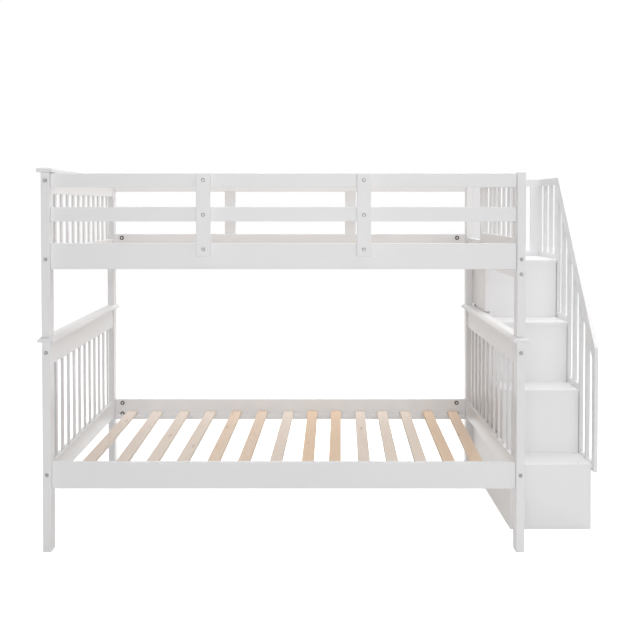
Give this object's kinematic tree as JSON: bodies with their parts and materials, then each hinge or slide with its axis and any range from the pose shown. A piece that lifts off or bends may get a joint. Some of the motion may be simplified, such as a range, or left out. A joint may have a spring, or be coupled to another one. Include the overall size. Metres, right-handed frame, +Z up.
{
  "type": "bunk bed with storage stairs",
  "caption": "White wooden bunk bed with slatted ends, guard rails and a stair tower of open cubbies at one end.",
  "frame": {"origin": "on the floor, under the middle of the whole object's bounding box", "axes": "+X along the bed towards the stairs, +Y from the front of the bed towards the wall, +Z up"},
  "size_m": [2.3876, 1.488, 1.5927],
  "materials": {
    "white_paint": "satin white paint on wood",
    "slat_wood": "bare sanded pine",
    "steel": "zinc plated steel"
  },
  "bodies": {
    "root": {"lower_post_front_left": "white_paint", "lower_post_back_left": "white_paint", "lower_post_front_right": "white_paint", "lower_post_back_right": "white_paint", "lower_left_top_rail": "white_paint", "lower_left_bottom_rail": "white_paint", "lower_left_end_bars": "white_paint", "lower_left_cap_rail": "white_paint", "lower_right_top_rail": "white_paint", "lower_right_bottom_rail": "white_paint", "lower_right_end_bars": "white_paint", "lower_right_cap_rail": "white_paint", "lower_front_side_rail": "white_paint", "lower_front_ledger": "white_paint", "lower_back_side_rail": "white_paint", "lower_back_ledger": "white_paint", "lower_slats": "slat_wood", "upper_post_front_left": "white_paint", "upper_post_back_left": "white_paint", "upper_post_front_right": "white_paint", "upper_post_back_right": "white_paint", "upper_left_top_rail": "white_paint", "upper_left_bottom_rail": "white_paint", "upper_left_end_bars": "white_paint", "upper_left_cap_rail": "white_paint", "upper_right_end_rail": "white_paint", "upper_front_side_rail": "white_paint", "upper_front_ledger": "white_paint", "upper_back_side_rail": "white_paint", "upper_back_ledger": "white_paint", "upper_slats": "slat_wood", "front_guard_top_rail": "white_paint", "front_guard_middle_rail": "white_paint", "front_guard_stiles": "white_paint", "back_guard_top_rail": "white_paint", "back_guard_middle_rail": "white_paint", "back_guard_stiles": "white_paint", "entry_panel_rails": "white_paint", "entry_panel_bars": "white_paint", "entry_upright": "white_paint", "stair_side_panels": "white_paint", "stair_risers": "white_paint", "stair_treads": "white_paint", "stair_platform": "white_paint", "stair_shelves": "white_paint", "stair_bottom_boards": "white_paint", "stair_back_panel": "white_paint", "stair_front_newel": "white_paint", "stair_top_newel": "white_paint", "stair_corner_newel": "white_paint", "stair_sloped_handrail": "white_paint", "stair_level_handrail": "white_paint", "stair_guard_cleats": "white_paint", "stair_guard_balusters": "white_paint", "platform_back_top_rail": "white_paint", "platform_back_bottom_rail": "white_paint", "platform_back_uprights": "white_paint", "post_pins": "steel"}
  },
  "joints": []
}
